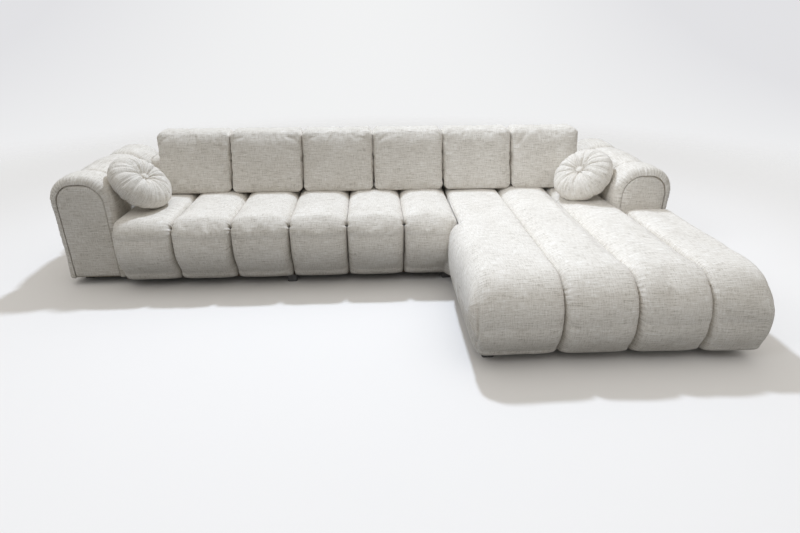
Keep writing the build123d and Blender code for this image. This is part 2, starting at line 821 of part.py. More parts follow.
hook_face = chaise_base_left - plate_thickness
tongue_left = left_base_right + plate_thickness + (slot_width - plate_thickness) / 2
shelf_bottom = strap_top + clearance
shelf_top = shelf_bottom + plate_thickness
with BuildPart() as connector_hooks:
    for y in connector_places:
        with BuildSketch(Plane.XZ.offset(-y)):
            with BuildLine():
                Polyline(
                    (chaise_base_left, plate_bottom),
                    (chaise_base_left, plate_bottom + plate_height),
                    (hook_face, plate_bottom + plate_height),
                    (hook_face, shelf_top),
                    (tongue_left, shelf_top),
                    (tongue_left, shelf_top - hook_drop),
                    (tongue_left + plate_thickness, shelf_top - hook_drop),
                    (tongue_left + plate_thickness, shelf_bottom),
                    (hook_face, shelf_bottom),
                    (hook_face, plate_bottom),
                    close=True,
                )
            make_face()
        extrude(amount=hook_width / 2, both=True)
connector_hooks.part.label = "connector_hooks"
export_step(connector_hooks.part, "parts/connector_hooks.step")
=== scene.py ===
from math import cos, pi, radians, sin, tan

import bmesh
import bpy
import numpy as np
from mathutils import Matrix, Vector


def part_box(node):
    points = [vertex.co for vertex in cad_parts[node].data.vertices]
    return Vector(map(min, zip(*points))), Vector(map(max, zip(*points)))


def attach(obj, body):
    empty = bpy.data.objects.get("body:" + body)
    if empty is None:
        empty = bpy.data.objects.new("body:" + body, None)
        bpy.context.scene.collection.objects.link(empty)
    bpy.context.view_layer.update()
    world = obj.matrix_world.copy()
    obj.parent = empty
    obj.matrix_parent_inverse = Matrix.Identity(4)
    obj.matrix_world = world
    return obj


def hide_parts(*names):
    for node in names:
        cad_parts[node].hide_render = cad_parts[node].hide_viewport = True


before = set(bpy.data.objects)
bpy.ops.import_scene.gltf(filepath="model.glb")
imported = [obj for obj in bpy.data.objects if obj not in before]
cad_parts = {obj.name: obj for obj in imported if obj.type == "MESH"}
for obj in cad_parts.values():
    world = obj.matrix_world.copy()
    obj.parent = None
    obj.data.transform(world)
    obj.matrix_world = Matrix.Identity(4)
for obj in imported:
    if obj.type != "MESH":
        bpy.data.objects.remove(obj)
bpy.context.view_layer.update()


# Timber frame: rails, cross rails, arm boards, stretchers and backrest uprights of planed softwood,
# glued and screwed into two bases and two arms. All of it stays under the covers, so the solids
# keep their shape and get a straight grain.
class Strand:
    """One socket of a finish; arithmetic on it adds Math nodes."""

    def __init__(self, tree, socket=None):
        self.tree = tree
        self.socket = socket

    def node(self, kind, settings=None, sockets=None, output=0):
        """Any other node: its type, its settings, then the values or links of its sockets."""
        made = self.tree.nodes.new(kind)
        for name, value in (settings or {}).items():
            if name == "stops":
                while len(made.color_ramp.elements) < len(value):
                    made.color_ramp.elements.new(1)
                for stop, (place, colour) in zip(made.color_ramp.elements, value):
                    stop.position = place
                    stop.color = (*colour, 1)
            else:
                setattr(made, name, value)
        for name, value in (sockets or {}).items():
            if isinstance(value, Strand):
                self.tree.links.new(value.socket, made.inputs[name])
            else:
                made.inputs[name].default_value = value
        return Strand(self.tree, made.outputs[output] if made.outputs else None)

    def sums(self, operation, first, second):
        return self.node("ShaderNodeMath", {"operation": operation}, {0: first, 1: second})

    def __add__(self, other):
        return self.sums("ADD", self, other)

    def __radd__(self, other):
        return self.sums("ADD", other, self)

    def __mul__(self, other):
        return self.sums("MULTIPLY", self, other)

    def __rmul__(self, other):
        return self.sums("MULTIPLY", other, self)


def new_finish(name):
    finish = bpy.data.materials.new(name)
    finish.use_nodes = True
    finish.node_tree.nodes.clear()
    return finish, Strand(finish.node_tree)


def tones(start, share, stops):
    """Colour that runs through the stops with share."""
    return start.node("ShaderNodeValToRGB", {"stops": stops}, {"Fac": share})


def bumps(start, height, strength, depth):
    return start.node("ShaderNodeBump", None, {"Height": height, "Strength": strength, "Distance": depth})


def lay_on(start, **sockets):
    """Ends a finish in one Principled surface."""
    named = {name.replace("_", " "): value for name, value in sockets.items()}
    surface = start.node("ShaderNodeBsdfPrincipled", None, named)
    start.node("ShaderNodeOutputMaterial", None, {"Surface": surface})


def dress(nodes, finish):
    for node in nodes:
        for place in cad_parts[node].material_slots:
            place.material = finish


pine_tones = ((0.25, (0.50, 0.34, 0.19)), (0.55, (0.66, 0.49, 0.30)), (0.8, (0.74, 0.58, 0.38)))
pine, start = new_finish("planed_pine")
place = start.node("ShaderNodeTexCoord", output="Object")
grain_run = start.node("ShaderNodeMapping", None, {"Vector": place, "Scale": (3.0, 3.0, 46.0)})
year_rings = {"Vector": grain_run, "Scale": 2.2, "Detail": 5.0, "Distortion": 0.6}
growth = start.node("ShaderNodeTexNoise", None, year_rings)
tone = tones(start, growth, pine_tones)
fibre = bumps(start, growth, 0.25, 0.001)
lay_on(start, Base_Color=tone, Roughness=0.55 + 0.25 * growth, Normal=fibre)
timber_nodes = ["left_long_rails", "left_cross_rails", "chaise_left_rail", "chaise_right_rails"]
timber_nodes += ["chaise_front_rail", "chaise_step_rail", "chaise_rear_rail"]
for side in ("left", "right"):
    timber_nodes += [f"{side}_arm_end_boards", f"{side}_arm_stretchers"]
for section in ("left", "chaise"):
    timber_nodes += [f"{section}_back_uprights", f"{section}_back_top_rail"]
dress(timber_nodes, pine)


# Bolts through the arm stretchers and the strap and hook plates that join the two sections:
# pressed and turned steel with a bright zinc coat, a little clouded by handling.
def mottle(start, place, scale, detail):
    return start.node("ShaderNodeTexNoise", None, {"Vector": place, "Scale": scale, "Detail": detail})


def pebbles(start, place, scale):
    return start.node("ShaderNodeTexVoronoi", None, {"Vector": place, "Scale": scale}, "Distance")


zinc_tones = ((0.3, (0.52, 0.53, 0.55)), (0.7, (0.66, 0.66, 0.66)))
zinc, start = new_finish("zinc_plated_steel")
place = start.node("ShaderNodeTexCoord", output="Object")
cloud = mottle(start, place, 90.0, 4.0)
tone = tones(start, cloud, zinc_tones)
spangle = bumps(start, pebbles(start, place, 420.0), 0.08, 0.0004)
lay_on(start, Base_Color=tone, Metallic=0.95, Roughness=0.24 + 0.2 * cloud, Normal=spangle)
dress(["left_arm_bolts", "right_arm_bolts", "connector_straps", "connector_hooks"], zinc)

# Feet: low tapered blocks of matt grey plastic, moulded with a fine leather grain
# and screwed up into the rails under the dust covers.
foot_tones = ((0.3, (0.115, 0.113, 0.110)), (0.7, (0.155, 0.152, 0.148)))
moulded, start = new_finish("moulded_foot_plastic")
place = start.node("ShaderNodeTexCoord", output="Object")
scuff = mottle(start, place, 55.0, 4.0)
tone = tones(start, scuff, foot_tones)
grain = bumps(start, pebbles(start, place, 900.0), 0.3, 0.0006)
lay_on(start, Base_Color=tone, Roughness=0.5 + 0.2 * scuff, Normal=grain)
dress(["left_feet", "chaise_feet"], moulded)


# Webbing: flat elastic straps woven of black and jute-brown yarn, stapled across the rails.
# Each is its own thin tape, a little lower in the middle where the foam presses on it.
def solids_of(node):
    """Lowest and highest corner of each separate solid of a CAD node."""
    mesh = bmesh.new()
    mesh.from_mesh(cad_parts[node].data)
    bmesh.ops.remove_doubles(mesh, verts=mesh.verts, dist=1e-6)
    waiting = set(mesh.verts)
    boxes = []
    while waiting:
        front = [waiting.pop()]
        found = list(front)
        while front:
            vert = front.pop()
            for edge in vert.link_edges:
                other = edge.other_vert(vert)
                if other in waiting:
                    waiting.remove(other)
                    front.append(other)
                    found.append(other)
        corners = np.array([vert.co for vert in found])
        boxes.append((corners.min(0), corners.max(0)))
    mesh.free()
    return sorted(boxes, key=lambda box: tuple(box[0]))


def new_piece(name, points, faces, runs, finish, body, nodes):
    """One smooth mesh piece; runs holds the cloth's own metres at each corner of its faces."""
    mesh = bpy.data.meshes.new(name)
    mesh.from_pydata([tuple(point) for point in points], [], [tuple(face) for face in faces])
    weave = mesh.uv_layers.new(name="weave")
    weave.data.foreach_set("uv", np.asarray(runs, dtype=np.float32).ravel())
    mesh.polygons.foreach_set("use_smooth", [True] * len(mesh.polygons))
    mesh.materials.append(finish)
    mesh.update()
    piece = bpy.data.objects.new(name, mesh)
    bpy.context.scene.collection.objects.link(piece)
    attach(piece, body)
    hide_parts(*nodes)
    return piece


def sew(name, loops, across, around, finish, body, nodes):
    """Closed skin over loops of points, closed at both ends. across has one length for each loop,
    around one for each point of a loop and one more where it closes."""
    rows, count = loops.shape[:2]
    spots = np.arange(rows * count).reshape(rows, count)
    onward = np.roll(spots, -1, axis=1)
    quads = np.stack([spots[:-1], onward[:-1], onward[1:], spots[1:]], axis=-1).reshape(-1, 4)
    near_across, near_around = np.meshgrid(across[:-1], around[:-1], indexing="ij")
    far_across, far_around = np.meshgrid(across[1:], around[1:], indexing="ij")
    corner_runs = [
        (near_across, near_around),
        (near_across, far_around),
        (far_across, far_around),
        (far_across, near_around),
    ]
    runs = np.stack([np.stack(pair, -1) for pair in corner_runs], axis=2).reshape(-1, 4, 2)
    points = loops.reshape(-1, 3)
    corner = points[quads]
    facing = np.cross(corner[:, 2] - corner[:, 0], corner[:, 3] - corner[:, 1])
    volume = (corner.mean(1) * facing).sum()
    ends = [spots[0][::-1], spots[-1]]
    if volume < 0:
        quads = quads[:, ::-1]
        runs = runs[:, ::-1]
        ends = [end[::-1] for end in ends]
    faces = [tuple(quad) for quad in quads] + [tuple(end) for end in ends]
    end_runs = np.concatenate([points[end][:, 1:] for end in ends])
    all_runs = np.concatenate([runs.reshape(-1, 2), end_runs])
    return new_piece(name, points, faces, all_runs, finish, body, nodes)


def flat_faced(piece):
    piece.data.polygons.foreach_set("use_smooth", [False] * len(piece.data.polygons))


strap_width = 0.060
strap_thick = 0.003
strap_sag = 0.0016
underside_sag = 0.3
strap_rows = 33
strap_corners = ((0, 0), (1, 0), (1, 1), (0, 1))
strap_around = np.cumsum([0, strap_width, strap_thick, strap_width, strap_thick])
tape_tones = ((0.35, (0.05, 0.05, 0.05)), (0.6, (0.36, 0.29, 0.20)))
tape, start = new_finish("elastic_webbing")
run = start.node("ShaderNodeUVMap", {"uv_map": "weave"})
rib_run = start.node("ShaderNodeMapping", None, {"Vector": run, "Scale": (420.0, 55.0, 1.0)})
rib = mottle(start, rib_run, 1.0, 2.0)
tone = tones(start, rib, tape_tones)
ribbing = bumps(start, rib, 0.5, 0.001)
lay_on(start, Base_Color=tone, Roughness=0.8 + 0.15 * rib, Normal=ribbing)
for section in ("left", "chaise"):
    body = f"{section}_section"
    node = f"{section}_webbing"
    along = 1 if section == "left" else 0
    for number, (low, high) in enumerate(solids_of(node), 1):
        spread = np.linspace(0, 1, strap_rows)
        loops = np.zeros((strap_rows, len(strap_corners), 3))
        for row, share in enumerate(spread):
            sag = strap_sag * sin(pi * share)
            for spot, (side_share, level) in enumerate(strap_corners):
                point = low + (high - low) * side_share
                point[along] = low[along] + (high[along] - low[along]) * share
                point[2] = low[2] + (high[2] - low[2]) * level - (sag if level else sag * underside_sag)
                loops[row, spot] = point
        length = float(high[along] - low[along])
        name = f"{section}_strap_{number}"
        strap = sew(name, loops, spread * length, strap_around, tape, body, [node])
        flat_faced(strap)


# Dust covers: black spun-bonded cloth pulled flat and stapled to the underside of each base
# and each arm, just above the feet.
def rectangle(low, high):
    """Corners of a box seen from above, in turn."""
    return [(low.x, low.y), (high.x, low.y), (high.x, high.y), (low.x, high.y)]


cloth_middle = 0.0005
spun_tones = ((0.3, (0.016, 0.016, 0.017)), (0.7, (0.045, 0.045, 0.047)))
spun, start = new_finish("spun_dust_cloth")
place = start.node("ShaderNodeTexCoord", output="Object")
web = mottle(start, place, 700.0, 3.0)
tone = tones(start, web, spun_tones)
press = bumps(start, pebbles(start, place, 380.0), 0.4, 0.0005)
lay_on(start, Base_Color=tone, Roughness=0.8 + 0.15 * web, Normal=press)
for section, arm, base_rail in (("left", "left", "left_long_rails"), ("chaise", "right", "chaise_left_rail")):
    body = f"{section}_section"
    node = f"{section}_dust_cover"
    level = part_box(node)[0].z + cloth_middle
    base_low, base_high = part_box(base_rail)
    base_outline = rectangle(base_low, base_high)
    if section == "chaise":
        right_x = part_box("chaise_right_rails")[1].x
        step_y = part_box("chaise_step_rail")[1].y
        narrow_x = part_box("chaise_back_pad")[1].x
        base_outline = [(base_low.x, base_low.y), (right_x, base_low.y), (right_x, step_y)]
        base_outline += [(narrow_x, step_y), (narrow_x, base_high.y), (base_low.x, base_high.y)]
    arm_outline = rectangle(*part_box(f"{arm}_arm_end_boards"))
    for covered, corners in (("base", base_outline), ("arm", arm_outline)):
        name = f"{section}_{covered}_dust_cloth"
        points = [(x, y, level) for x, y in corners]
        face = list(range(len(points)))[::-1]
        runs = [corners[spot] for spot in face]
        cloth = new_piece(name, points, [face], runs, spun, body, [node])
        width, depth = np.ptp(np.array(corners), axis=0)
        onward = corners[1:] + corners[:1]
        cut = 0.5 * abs(sum(a[0] * b[1] - b[0] * a[1] for a, b in zip(corners, onward)))
        flat = (float(width), float(depth))


# Seat foam: a slab of cut polyurethane foam lying on the webbing of each base,
# open-celled and a little yellowed, with its edges rounded by the cover.
def soft_copy(name, node, voxel, finish, body):
    """Rounded copy of a CAD solid: remeshed in small cells and relaxed."""
    piece = bpy.data.objects.new(name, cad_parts[node].data.copy())
    bpy.context.scene.collection.objects.link(piece)
    skin = piece.modifiers.new("skin", "REMESH")
    skin.mode = "VOXEL"
    skin.voxel_size = voxel
    relax = piece.modifiers.new("relax", "SMOOTH")
    relax.factor = 0.5
    relax.iterations = 6
    bpy.context.view_layer.update()
    shaped = bpy.data.meshes.new_from_object(piece.evaluated_get(bpy.context.evaluated_depsgraph_get()))
    shaped.name = name
    piece.modifiers.clear()
    piece.data = shaped
    shaped.materials.clear()
    shaped.materials.append(finish)
    shaped.polygons.foreach_set("use_smooth", [True] * len(shaped.polygons))
    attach(piece, body)
    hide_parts(node)
    return piece


foam_voxel = 0.014
foam_tones = ((0.3, (0.78, 0.71, 0.52)), (0.7, (0.85, 0.80, 0.64)))
sponge, start = new_finish("seat_foam")
place = start.node("ShaderNodeTexCoord", output="Object")
cells = pebbles(start, place, 620.0)
age = mottle(start, place, 7.0, 4.0)
tone = tones(start, age, foam_tones)
pores = bumps(start, cells, 0.5, 0.001)
lay_on(start, Base_Color=tone, Roughness=0.85 + 0.1 * cells, Normal=pores)
for section in ("left", "chaise"):
    body = f"{section}_section"
    soft_copy(f"{section}_seat_foam", f"{section}_foam", foam_voxel, sponge, body)

# Seat channels: six long pads side by side on the left section. A cover of chenille on a linen ground
# is sewn down in straight seams over wadding, rolls over the front edge and is stapled under the base.
# The seams pull the cloth into small gathers, most of all where it bends over the front.
seam_height = 0.372
crown_rise = 0.042
front_swell = 0.052
roll_swell = 0.054
foot_height = 0.045
deck_top = 0.300
channel_back = 0.574
arm_face = 0.043
seam_gap = 0.0004
seat_seams = (-1.400, -1.081, -0.763, -0.445, -0.127, 0.191, 0.484)
seat_nose = -0.035
seat_tuck = 0.048
seat_seam_roll = 0.045
seat_rail = 0.020
seat_belly = 0.024
seat_toe = 0.058

# The cloth: slubbed yarns one way, a finer warp the other, with soft shading and flecks of the pile.
woven_tones = (
    (0.40, (0.450, 0.415, 0.360)),
    (0.47, (0.680, 0.640, 0.575)),
    (0.53, (0.768, 0.732, 0.672)),
    (0.60, (0.905, 0.883, 0.842)),
)
nap = {"Sheen_Weight": 0.18, "Sheen_Roughness": 0.5, "Specular_IOR_Level": 0.25}


def weave_chenille(start, long_slub, slub, warp, pile, fleck, thread=None):
    """Ends a finish as the sofa's cloth, from its yarns."""
    shade = 0.28 * long_slub + 0.22 * slub + 0.22 * warp + 0.10 * pile + 0.18 * fleck
    height = 0.40 * long_slub + 0.30 * slub + 0.30 * warp
    if thread is not None:
        height = height + 0.12 * thread
    tone = tones(start, shade, woven_tones)
    raised = bumps(start, height, 0.45, 0.003)
    lay_on(start, Base_Color=tone, Roughness=0.78 + 0.2 * slub, Normal=raised, **nap)


cover, start = new_finish("woven_cover")
run = start.node("ShaderNodeUVMap", {"uv_map": "weave"})


def yarn(along, over, detail=2.0, rough=0.55):
    """Streaks of yarn, so many to the metre along and over the width of the cloth."""
    stretched = start.node("ShaderNodeMapping", None, {"Vector": run, "Scale": (along, over, 1.0)})
    sockets = {"Vector": stretched, "Scale": 1.0, "Detail": detail, "Roughness": rough}
    return start.node("ShaderNodeTexNoise", None, sockets)


weave_chenille(
    start,
    long_slub=yarn(14.0, 190.0, 3.0),
    slub=yarn(36.0, 310.0, 3.0),
    warp=yarn(230.0, 24.0, 3.0),
    pile=yarn(6.0, 5.0, 4.0, 0.6),
    fleck=yarn(170.0, 260.0, 2.0),
    thread=yarn(120.0, 900.0, 1.0),
)


def hump(value, middle, width, power=2):
    """Smooth rise to 1 at middle, fading out over width to both sides."""
    return np.exp(-(((value - middle) / width) ** power))


def seam_to_seam(count):
    """Shares across a channel, closer together near its two seams."""
    even = np.linspace(-1, 1, count)
    return 0.5 + 0.5 * (0.35 * even + 0.65 * np.sin(even * pi / 2))


def swell_of(share):
    """Fullness across a channel: full over the middle, none at the seams and a thin groove along them."""
    off = np.abs(2 * share - 1)
    groove = 0.28 * np.exp(-np.minimum(share, 1 - share) / 0.012)
    return 0.7 * (1 - off**12) ** 0.5 + 0.3 * (1 - off**2.5) ** 0.5 - groove


def line(first, last, count):
    """Points from first up to, but not including, last."""
    return first + (np.asarray(last) - first) * np.arange(count)[:, None] / count


roll_most = 0.62
least_step = 0.004
heel_steps = 9


def channel_loop(swell, profile, back, rail, counts, drop=0.0, setback=0.0, lift=0.0):
    """Side view of a channel: along the top to the front, down, under and back round the foam."""
    nose, tuck, seam_roll, belly, toe = profile
    top = seam_height + swell * crown_rise - drop
    front = nose - swell * front_swell + setback
    low = foot_height + lift
    roll = min(seam_roll + swell * roll_swell - 0.5 * drop, roll_most * (top - low))
    under = min(toe, 0.5 * (top - roll - low))
    deck = max(min(deck_top, top - least_step), low)
    turn = np.arange(counts[2])[:, None] / counts[2] * pi / 2
    bend = np.hstack([front + roll - roll * np.sin(turn), top - roll + roll * np.cos(turn)])
    down = np.arange(counts[3])[:, None] / counts[3]
    fall = np.hstack(
        [
            front + tuck * down**2 - belly * swell * np.sin(pi * down),
            top - roll + (low + under - top + roll) * down,
        ]
    )
    heel = np.arange(heel_steps)[:, None] / (heel_steps - 1) * pi / 2
    foot = np.hstack([front + tuck + under - under * np.cos(heel), low + under - under * np.sin(heel)])
    break_y = min(arm_face, back - least_step)
    parts = [
        line(np.array((back, top)), (break_y, top), counts[0]),
        line(np.array((break_y, top)), (front + roll, top), counts[1]),
        bend,
        fall,
        foot,
        line(np.array((front + tuck + under, low)), (rail, low), 5)[1:],
        line(np.array((rail, low)), (rail, deck), 5),
        line(np.array((rail, deck)), (back, deck), 8),
        line(np.array((back, deck)), (back, top), 4),
    ]
    return np.concatenate(parts)


def rounded(inward, radius, power=2):
    """How far a round edge still falls short at this distance in from its side, from 1 to 0."""
    return 1 - (1 - np.clip(1 - inward / radius, 0, 1) ** power) ** (1 / power)


def girth_of(loop):
    """Length of cloth from the start of a loop to each of its points, and on to its start again."""
    steps = np.linalg.norm(np.roll(loop, -1, axis=0) - loop, axis=1)
    return np.concatenate([[0], np.cumsum(steps)])


def outward(loops):
    """Unit normals of a skin of loops, pointing out of the pad."""
    up = np.gradient(loops, axis=0)
    on = np.roll(loops, -1, axis=1) - np.roll(loops, 1, axis=1)
    normals = np.cross(up, on)
    normals /= np.maximum(np.linalg.norm(normals, axis=2, keepdims=True), 1e-9)
    highest = np.unravel_index(loops[:, :, 2].argmax(), loops.shape[:2])
    return normals if normals[highest][2] > 0 else -normals


def ripple(seed, first, second, length):
    """Soft unevenness of a stuffed cover, mostly between -1 and 1."""
    draw = np.random.default_rng(seed)
    total = 0
    for _ in range(8):
        heading, phase, stretch = draw.uniform(0, 2 * pi), draw.uniform(0, 2 * pi), draw.uniform(0.7, 1.6)
        wave = (first * cos(heading) + second * sin(heading)) * 2 * pi / (length * stretch)
        total = total + np.cos(wave + phase)
    return total / 4


def gathers(seed, along, spacing):
    """Uneven small folds along a seam, from -1 to 1."""
    draw = np.random.default_rng(seed)
    low, high = along.min() - 2 * spacing, along.max() + 3 * spacing
    knots = np.arange(low, high, spacing)
    knots = knots + draw.uniform(-0.3, 0.3, len(knots)) * spacing
    heights = draw.uniform(0.25, 1, len(knots)) * np.where(np.arange(len(knots)) % 2, 1, -1)
    spot = np.clip(np.searchsorted(knots, along) - 1, 0, len(knots) - 2)
    share = np.clip((along - knots[spot]) / (knots[spot + 1] - knots[spot]), 0, 1)
    share = 0.5 - 0.5 * np.cos(pi * share)
    return heights[spot] * (1 - share) + heights[spot + 1] * share


gather_spacing = 0.013
gather_start = 0.004
pinch_along = 0.014
pinch_reach = 0.009


def puckers(seed, share, width, along, bend_at, bend_width, strong, weak, reach, pinch=0.0):
    """How far the cloth of a channel stands in or out beside its two seams, pinched where they bend."""
    near = np.minimum(share, 1 - share)[:, None] * width
    bending = hump(along, bend_at, bend_width)[None, :]
    height = (weak + (strong - weak) * bending) * np.exp(-near / reach) * np.minimum(near / gather_start, 1)
    first = gathers(seed, along, gather_spacing)[None, :]
    second = gathers(seed + 500, along, gather_spacing)[None, :]
    tight = pinch * hump(along, bend_at, pinch_along)[None, :] * np.exp(-near / pinch_reach)
    return height * np.where(share[:, None] < 0.5, first, second) - tight


waiting_covers = []


def stuff(piece, held, pressure, spare, cap, between=None):
    """Readies a cover for filling: Blender's cloth under pressure, cut a little too large and held
    where it is sewn or stapled. No point may then move further than cap."""
    cloth = piece.modifiers.new("filling", "CLOTH")
    cloth.settings.use_pressure = True
    cloth.settings.uniform_pressure_force = pressure
    cloth.settings.effector_weights.gravity = 0
    cloth.settings.shrink_min = -spare
    cloth.settings.bending_stiffness = 0.4
    cloth.settings.quality = 2
    cloth.collision_settings.use_collision = False
    group = piece.vertex_groups.new(name="held")
    held = np.round(np.asarray(held, dtype=float).ravel(), 2)
    for weight in np.unique(held[held > 0]):
        group.add([int(spot) for spot in np.nonzero(held == weight)[0]], float(weight), "REPLACE")
    cloth.settings.vertex_group_mass = "held"
    waiting_covers.append((piece, cap, between))


# Beside the chaise the last pad grows square and full; the first one turns down at its open left end.
seat_rows = 52
seat_counts = (70, 8, 24, 40)
joint_from = 0.425
joint_over = 0.040
joint_belly = 0.020
joint_tuck = 0.038
joint_toe = 0.040
joint_full = 0.85
end_drop = 0.020
end_round = 0.060
end_back = 0.041
end_full = 0.3
end_lift = 0.2
end_turns = ((0.016, 0.085), (0.0155, 0.074), (0.014, 0.060), (0.011, 0.046), (0.006, 0.034))
seat_puckers = {"bend_width": 0.05, "strong": 0.0038, "weak": 0.0009, "reach": 0.018, "pinch": 0.010}
seat_ripple = 0.0020
seat_weave_step = 0.37
channel_filling = {"pressure": 3.0, "spare": 0.02}
sewn_rows = 2
stapled_points = 3
heel_free = 4
heel_shown = 6
for number in range(1, 7):
    left, right = seat_seams[number - 1] + seam_gap, seat_seams[number] - seam_gap
    shares = seam_to_seam(seat_rows)
    rows = []
    for share in shares:
        x = left + share * (right - left)
        full = swell_of(share)
        drop = end_drop * rounded(x - left, end_round) if number == 1 else 0
        meets = np.clip((x - joint_from) / joint_over, 0, 1)
        belly = seat_belly - joint_belly * meets
        tuck = seat_tuck - joint_tuck * meets
        toe = seat_toe - joint_toe * meets
        profile = (seat_nose, tuck, seat_seam_roll, belly, toe)
        setback = drop - meets * max(joint_full - full, 0) * front_swell
        loop = channel_loop(full, profile, channel_back, seat_rail, seat_counts, drop, setback)
        rows.append(np.column_stack([np.full(len(loop), x), loop]))
    least = left
    if number == 1:
        turned = []
        for outward_by, drop in end_turns:
            profile = (seat_nose, seat_tuck, seat_seam_roll, 0.5 * seat_belly, seat_toe)
            lift = end_lift * drop
            loop = channel_loop(end_full, profile, end_back, end_back, seat_counts, drop, drop, lift)
            turned.append(np.column_stack([np.full(len(loop), left - outward_by), loop]))
        rows = turned + rows
        shares = np.concatenate([np.zeros(len(turned)), shares])
        least = left - end_turns[0][0]
    loops = np.array(rows)
    around = girth_of(loops[seat_rows // 2])
    bend_at = around[sum(seat_counts[:2]) + seat_counts[2] // 2]
    relief = puckers(number, shares, right - left, around[:-1], bend_at, **seat_puckers)
    unevenness = ripple(20 + number, shares[:, None] * 0.3, around[None, :-1], 0.16)
    relief = relief + np.sin(pi * shares)[:, None] * seat_ripple * unevenness
    shown = np.zeros(loops.shape[1])
    shown[: sum(seat_counts) + heel_shown] = 1
    loops = loops + outward(loops) * (relief * shown)[:, :, None]
    loops[:, :, 0] = np.clip(loops[:, :, 0], least, right)
    across = loops[:, 0, 0] + seat_weave_step * number
    node = f"seat_channel_{number}"
    pad = sew(f"seat_channel_pad_{number}", loops, across, around, cover, "left_section", [node])
    held = np.ones(loops.shape[:2])
    held[sewn_rows:-sewn_rows, stapled_points : sum(seat_counts) + heel_free] = 0
    held[: len(rows) - seat_rows + sewn_rows] = 1
    stuff(pad, held, cap=0.007, between=(0, least, right), **channel_filling)

# Chaise channels: four longer pads of the same cover, with a fuller roll over the front. The first rolls
# down its left side where it stands clear of the seat, with a dart at the corner; the third runs on
# beside the arm, and the last is the narrow one that ends against the arm and rolls down the outer side.
chaise_tucks = (0.038, 0.034, 0.028, 0.014)
chaise_profiles = [(-0.883, tuck, 0.150, 0.008, 0.034) for tuck in chaise_tucks]
chaise_rail = -0.828
chaise_seams = (0.4865, 0.825, 1.146, 1.467, 1.738)
chaise_rows = 56
chaise_counts = (60, 104, 46, 34)
chaise_width = 0.32
chaise_puckers = {"bend_width": 0.14, "strong": 0.0020, "weak": 0.0008, "reach": 0.018}
chaise_ripple = 0.0030
chaise_weave_step = 0.41
beside_arm = 1.400
arm_corner_cut = 0.036
arm_corner_reach = 0.040
turn_start = 0.004
turn_power = 0.8

# Left side of the first pad: its roll, the way it sinks and closes in behind the seat's front, and its dart.
seat_clear = -0.0895
side_edge = 0.410
side_reach = 0.120
side_sizes = {"deep": (0.149, 0.120), "setback": (0.066, 0.070), "lift": (0.220, 0.085)}
side_limit = 0.402
crown_from = 0.62
rear_sink = 0.030
rear_sink_run = (-0.200, 0.110)
rear_sink_low = 0.250
rear_sink_tall = 0.160
rear_close = 0.024
rear_close_run = (-0.300, 0.210)
rear_sewn_run = (-0.165, 0.085)
rear_held = -0.150
seam_held = 0.008
dart_at = 0.446
dart_width = 0.0035
dart_depth = 0.009
dart_lip_at = 0.458
dart_lip_width = 0.008
dart_lip = 0.4
dart_tip_width = 0.030
dart_gather = 0.0014

# Outer side of the last pad, with the edge that meets the arm.
outer_proud = 0.003
outer_reach = 0.064
outer_sizes = {"deep": (0.155, 0.064), "setback": (0.040, 0.036), "lift": (0.214, 0.034)}
outer_limit = 1.750
outer_full = 0.135
base_right = 1.683
arm_meet_drop = 0.040
arm_meet_reach = 0.075


def ease(value, first, run):
    """Smooth rise from 0 at first to 1 one run further on."""
    share = np.clip((value - first) / run, 0, 1)
    return share * share * (3 - 2 * share)


def side_roll(inward, deep, setback, lift):
    """Drop of the top, setback of the front and lift of the foot where a pad rolls down its side,
    each as a size and how far in from the side it reaches."""
    return {
        "drop": deep[0] * rounded(inward, deep[1], 2.5),
        "setback": setback[0] * rounded(inward, setback[1]),
        "lift": lift[0] * rounded(inward, lift[1]),
    }


